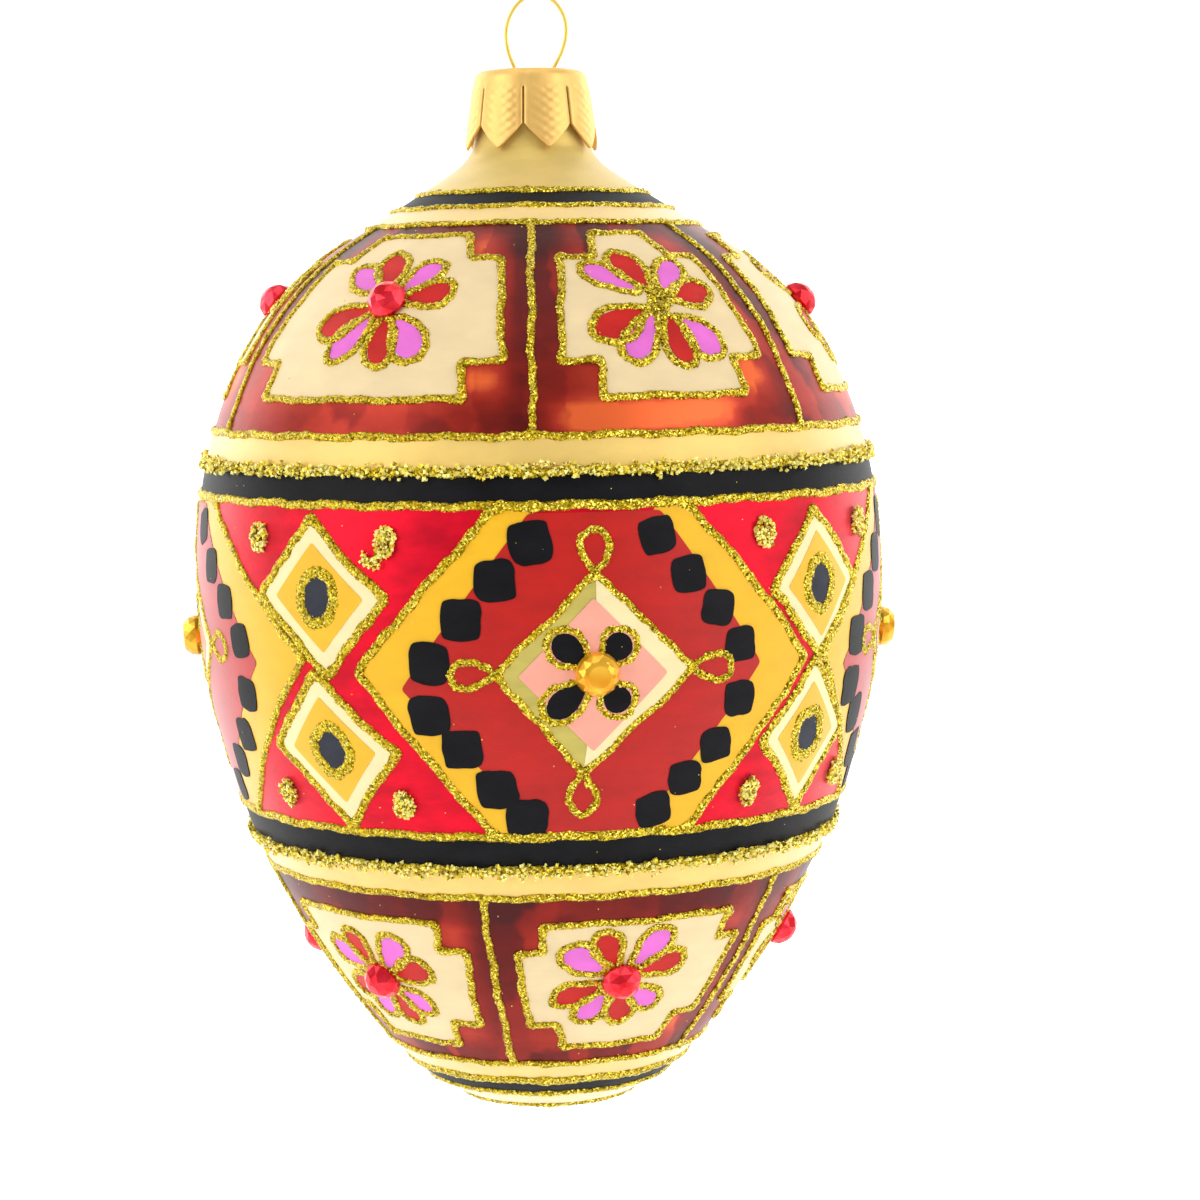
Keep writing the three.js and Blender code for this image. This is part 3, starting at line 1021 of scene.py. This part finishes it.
# Half of the hanger's centre line: (distance from its middle, height), from the loop to a leg's end, mm.
HANGER_HALF = [
    (1.6, -0.42), (2.7, -1.9), (3.05, -3.7), (2.7, -5.6), (1.78, -7.65), (1.95, -8.3),
    (2.85, -9.3), (3.3, -12), (3.45, -17), (3.5, -21.2), (3.05, -21.9),
]
WIRE_R = 0.22
LEAN_DEPTH = 11.5  # the loop leans over to the cap's middle in this depth


def cap_radius(drop):
    """The cap's outer radius some mm below its top."""
    if drop >= CAP_EDGE_DROP:
        share = (drop - CAP_EDGE_DROP) / (CAP_HEIGHT - CAP_EDGE_DROP)
        return CAP_EDGE_R + (PETAL_TIP_R - CAP_EDGE_R) * share
    share = sqrt(max(0.0, 1 - (1 - drop / CAP_EDGE_DROP) ** 2))
    return CAP_FLAT_R + (CAP_EDGE_R - CAP_FLAT_R) * share


def petal_column(across):
    """One line of (radius, drop, half turn) down a cap petal, at a place across it from -1 to 1."""
    end = NOTCH_DROP + (CAP_HEIGHT - NOTCH_DROP) * (1 - abs(across) ** 1.15)
    drops = [CAP_EDGE_DROP * (1 - cos(radians(a))) for a in range(0, 91, 15)]
    drops += list(np.linspace(CAP_EDGE_DROP, SLIT_DROP, 4)[1:])
    drops += list(np.linspace(SLIT_DROP, end, 44)[1:])
    points = []
    for drop in drops:
        slit = SLIT_TURN / 2 if drop > SLIT_DROP else 0
        low = min(1.0, max(0.0, (drop - SLIT_DROP + 0.6) / 0.8))
        inner = min(1.0, max(0.0, (end - drop) / 0.7)) * (1 if abs(across) < 0.74 else 0)
        crown = 0.10 * (1 - across**4)
        rim = 0.05 * exp(-(((abs(across) - 0.86) / 0.08) ** 2))
        dots = cos(across * 3.5 * pi) * cos(drop * 2 * pi / DOT_PITCH)
        relief = (crown + rim + DOT_RELIEF * dots * inner) * low
        points.append((cap_radius(drop) + relief, drop, 180 / PETALS - slit))
    return points


def close_top(sheet, top, legs):
    """Fill the flat of the cap's top, leaving a round hole for each of the wire's legs."""
    rim = [v for v in sheet.verts if v.co.z > (top - 0.001) * MM]
    rim.sort(key=lambda v: atan2(v.co.y, v.co.x - AXIS_X * MM))
    flat = [Vector((v.co.x, v.co.y)) / MM for v in rim]
    edges = []
    for leg in legs:
        start = len(flat)
        for step in range(HOLE_SIDES):
            angle = 2 * pi * step / HOLE_SIDES
            flat.append(Vector((leg + WIRE_HOLE_R * cos(angle), WIRE_HOLE_R * sin(angle))))
            edges.append((start + step, start + (step + 1) % HOLE_SIDES))
    found, _, triangles, origins, *_ = delaunay_2d_cdt(flat, edges, [list(range(len(rim)))], 1, 1e-6)
    corners = []
    for place, origin in zip(found, origins):
        known = origin and origin[0] < len(rim)
        corners.append(rim[origin[0]] if known else sheet.verts.new((place.x * MM, place.y * MM, top * MM)))
    for triangle in triangles:
        middle = sum((found[v] for v in triangle), Vector((0, 0))) / 3
        if all((middle - Vector((leg, 0))).length > WIRE_HOLE_R for leg in legs):
            sheet.faces.new([corners[v] for v in triangle])


def cap():
    """The stamped cap: eight crowned and dotted petals under one rounded top, cut from a thin sheet."""
    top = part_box("cap")[1].z / MM
    gold = metal("cap_gold", (0.96, 0.60, 0.17), 0.44, metallic=0.5)
    sheet = bmesh.new()
    for index in range(PETALS):
        middle = PETAL_TURN + index * 360 / PETALS
        rows = []
        for column in range(PETAL_COLUMNS):
            across = column / (PETAL_COLUMNS - 1) * 2 - 1
            line = []
            for radius, drop, half in petal_column(across):
                turn = radians(middle + across * half)
                place = (AXIS_X + radius * sin(turn), -radius * cos(turn), top - drop)
                line.append(sheet.verts.new(Vector(place) * MM))
            rows.append(line)
        for left, right in zip(rows, rows[1:]):
            for upper in range(len(left) - 1):
                sheet.faces.new((left[upper], left[upper + 1], right[upper + 1], right[upper]))
    bmesh.ops.remove_doubles(sheet, verts=sheet.verts, dist=0.002 * MM)
    close_top(sheet, top, hanger_legs(top))
    bmesh.ops.recalc_face_normals(sheet, faces=sheet.faces)
    piece = attach("cap_sheet", mesh_from("cap_sheet", sheet, gold), "cap")
    piece.data.shade_smooth()
    thick = piece.modifiers.new("sheet", "SOLIDIFY")
    thick.thickness = SHEET * MM
    thick.offset = -1
    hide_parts("cap")


def hanger_line():
    """The wire's centre line as (x, z): a leaning oval loop whose legs spread in the neck."""
    def lean(height):
        return AXIS_X * min(1, max(0, -height / LEAN_DEPTH)) ** 1.5

    left = [(lean(z) - half, z) for half, z in HANGER_HALF]
    right = [(lean(z) + half, z) for half, z in HANGER_HALF]
    return smooth_outline([*left[::-1], (0, WIRE_R), *right], 10)


def hanger_legs(height):
    """Where the wire's two legs cross a height."""
    line = hanger_line()
    crossing = (line[:-1, 1] < height) != (line[1:, 1] < height)
    return line[:-1][crossing][:, 0].tolist()


def hanger():
    """The bent wire."""
    line = hanger_line()
    curve = bpy.data.curves.new("hanger", "CURVE")
    curve.dimensions = "3D"
    curve.bevel_depth = WIRE_R * MM
    curve.bevel_resolution = 4
    curve.use_fill_caps = True
    spline = curve.splines.new("POLY")
    spline.points.add(len(line) - 1)
    for point, (x, z) in zip(spline.points, line):
        point.co = (x * MM, 0, z * MM, 1)
    spline.use_smooth = True
    curve.materials.append(metal("wire_gold", (1.0, 0.70, 0.17), 0.35, metallic=0.6))
    piece = attach("hanger_loop", curve, "hanger")
    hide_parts("hanger_wire")


# ---- stage, light and camera ----

# The stage's sizes, in metres.
FLOOR_Z, WALL_Y, BEND, HALF_WIDTH = -0.55, 1.3, 0.5, 2.2
GLOW_HEIGHT = 0.25  # the wall glows fully from here up


def stage():
    """A pale floor that curves up into a back wall, brighter behind the egg than below it."""
    profile = [(-HALF_WIDTH, FLOOR_Z)]
    for step in range(13):
        angle = radians(90 * step / 12)
        profile.append((WALL_Y - BEND + BEND * sin(angle), FLOOR_Z + BEND - BEND * cos(angle)))
    profile.append((WALL_Y, HALF_WIDTH))
    sweep = bmesh.new()
    rows = [[sweep.verts.new((x, y, z)) for x in (-HALF_WIDTH, HALF_WIDTH)] for y, z in profile]
    for lower, upper in zip(rows, rows[1:]):
        sweep.faces.new((lower[0], lower[1], upper[1], upper[0]))
    material, tree, shader = blank("white_sweep")
    whites = [(0.2, (0.9, 0.9, 0.9)), (0.8, (0.93, 0.93, 0.93))]
    split = make(tree, "SeparateXYZ", {0: object_place(tree)})
    glow = make(tree, "MapRange", {
        "Value": split.outputs["Z"], "From Min": FLOOR_Z, "From Max": FLOOR_Z + GLOW_HEIGHT,
        "To Min": 0.25, "To Max": 0.95,
    })
    set_inputs(tree, shader, {
        "Base Color": ramp(tree, noise(tree, 3, 2.0), whites), "Roughness": 0.9,
        "Emission Color": (1, 1, 1, 1), "Emission Strength": glow.outputs["Result"],
    })
    mesh = mesh_from("sweep", sweep, material)
    mesh.shade_smooth()
    floor = add_object("sweep", mesh)


LIT_MIDDLE = (0, 0, -0.06)  # the middle of the egg, which every light faces, in metres


def soft_light(name, place, size, power):
    """An area light facing the egg: place and size in metres, power in watts."""
    data = bpy.data.lights.new(name, "AREA")
    data.shape = "RECTANGLE"
    data.size, data.size_y = size
    data.energy = power
    lamp = add_object(name, data)
    lamp.location = place
    lamp.rotation_euler = (Vector(LIT_MIDDLE) - Vector(place)).to_track_quat("-Z", "Y").to_euler()


def lights():
    world = bpy.data.worlds.new("studio")
    bpy.context.scene.world = world
    world.use_nodes = True
    tree = world.node_tree
    set_inputs(tree, tree.nodes["Background"], {"Color": (1, 1, 1, 1), "Strength": 0.42})
    soft_light("left", (-1.05, -0.55, 0.35), (0.9, 1.2), 8.4)
    soft_light("right", (1.05, -0.5, 0.3), (0.9, 1.2), 7.8)
    soft_light("left_rim", (-0.95, 0.6, 0.1), (0.8, 1.4), 4.5)
    soft_light("right_rim", (0.95, 0.6, 0.1), (0.8, 1.4), 3.5)
    soft_light("top", (-0.1, -0.2, 1.15), (1.0, 1.0), 3.4)
    bpy.context.scene.view_settings.view_transform = "Standard"


CAMERA_DISTANCE = 300.0  # mm in front of the egg's axis
CAMERA_RIGHT = 6.2
CAMERA_ABOVE_BELLY = 27.0
CAMERA_DOWN = 5.5  # degrees
CAMERA_ROLL = -0.95
CAMERA_LENS = 87.3  # mm, on a sensor of the width below
SENSOR_WIDTH = 36


def camera():
    data = bpy.data.cameras.new("camera")
    data.lens = CAMERA_LENS
    data.sensor_width = SENSOR_WIDTH
    data.clip_start = 0.01
    view = add_object("camera", data)
    place = Vector((AXIS_X + CAMERA_RIGHT, -CAMERA_DISTANCE, BELLY_Z + CAMERA_ABOVE_BELLY)) * MM
    level = Matrix.Rotation(radians(90 - CAMERA_DOWN), 4, "X")
    view.matrix_world = Matrix.Translation(place) @ level @ Matrix.Rotation(radians(CAMERA_ROLL), 4, "Z")
    bpy.context.scene.camera = view


camera()
lights()
stage()
glass_shell()
tip_cap()
painted_rings()
glitter_rings()
grain_rings()
flower_panels()
for number, (seat, stretch) in enumerate(zip(AMBER_STONES, MEDALLION_STRETCH)):
    medallion(number + 1, *seat, stretch)
for number, column in enumerate(DIAMOND_COLUMNS):
    stacked_diamonds(number + 1, *column)
coarse_dots()
stray_specks()
stones()
cap()
hanger()
